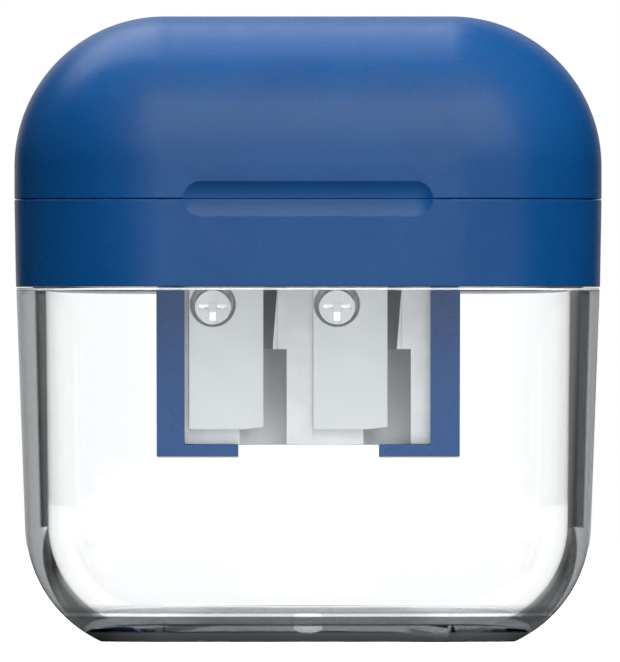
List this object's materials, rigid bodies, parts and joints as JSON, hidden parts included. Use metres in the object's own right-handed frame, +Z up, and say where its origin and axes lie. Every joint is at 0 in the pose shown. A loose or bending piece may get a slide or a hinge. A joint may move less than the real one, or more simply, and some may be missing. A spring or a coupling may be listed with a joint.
{
  "type": "pencil sharpener",
  "caption": "Hand-held double pencil sharpener: a domed flip lid and collar over a clear rounded shavings container, with a metal block in a cage inside.",
  "frame": {"origin": "middle of the container's flat base, on the mid-plane of the case", "axes": "+X to the right along the long side, +Y to the back where the hinge is, +Z up through the lid"},
  "size_m": [0.0588, 0.0322, 0.0625],
  "materials": {
    "clear_plastic": "clear polystyrene, polished",
    "blue_plastic": "satin blue, fine moulded texture",
    "cast_alloy": "cast and milled light alloy",
    "blade_steel": "ground blade steel",
    "plated_steel": "bright plated steel"
  },
  "bodies": {
    "bin": {"container": "clear_plastic"},
    "head": {"collar": "blue_plastic", "carrier": "blue_plastic", "hinge_pin": "plated_steel", "sharpener_block": "cast_alloy", "blade_left": "blade_steel", "blade_right": "blade_steel", "blade_screw_left": "plated_steel", "blade_screw_right": "plated_steel"},
    "flip_lid": {"lid": "blue_plastic"}
  },
  "joints": [
    {"name": "head_lift", "type": "slide", "parent": "bin", "child": "head", "axis": [0, 0, 1], "range_m": [0, 0.03]},
    {"name": "lid_hinge", "type": "hinge", "parent": "head", "child": "flip_lid", "pos_m": [0, 0.0156, 0.0442], "axis": [-1, 0, 0], "range_deg": [0, 110]}
  ]
}
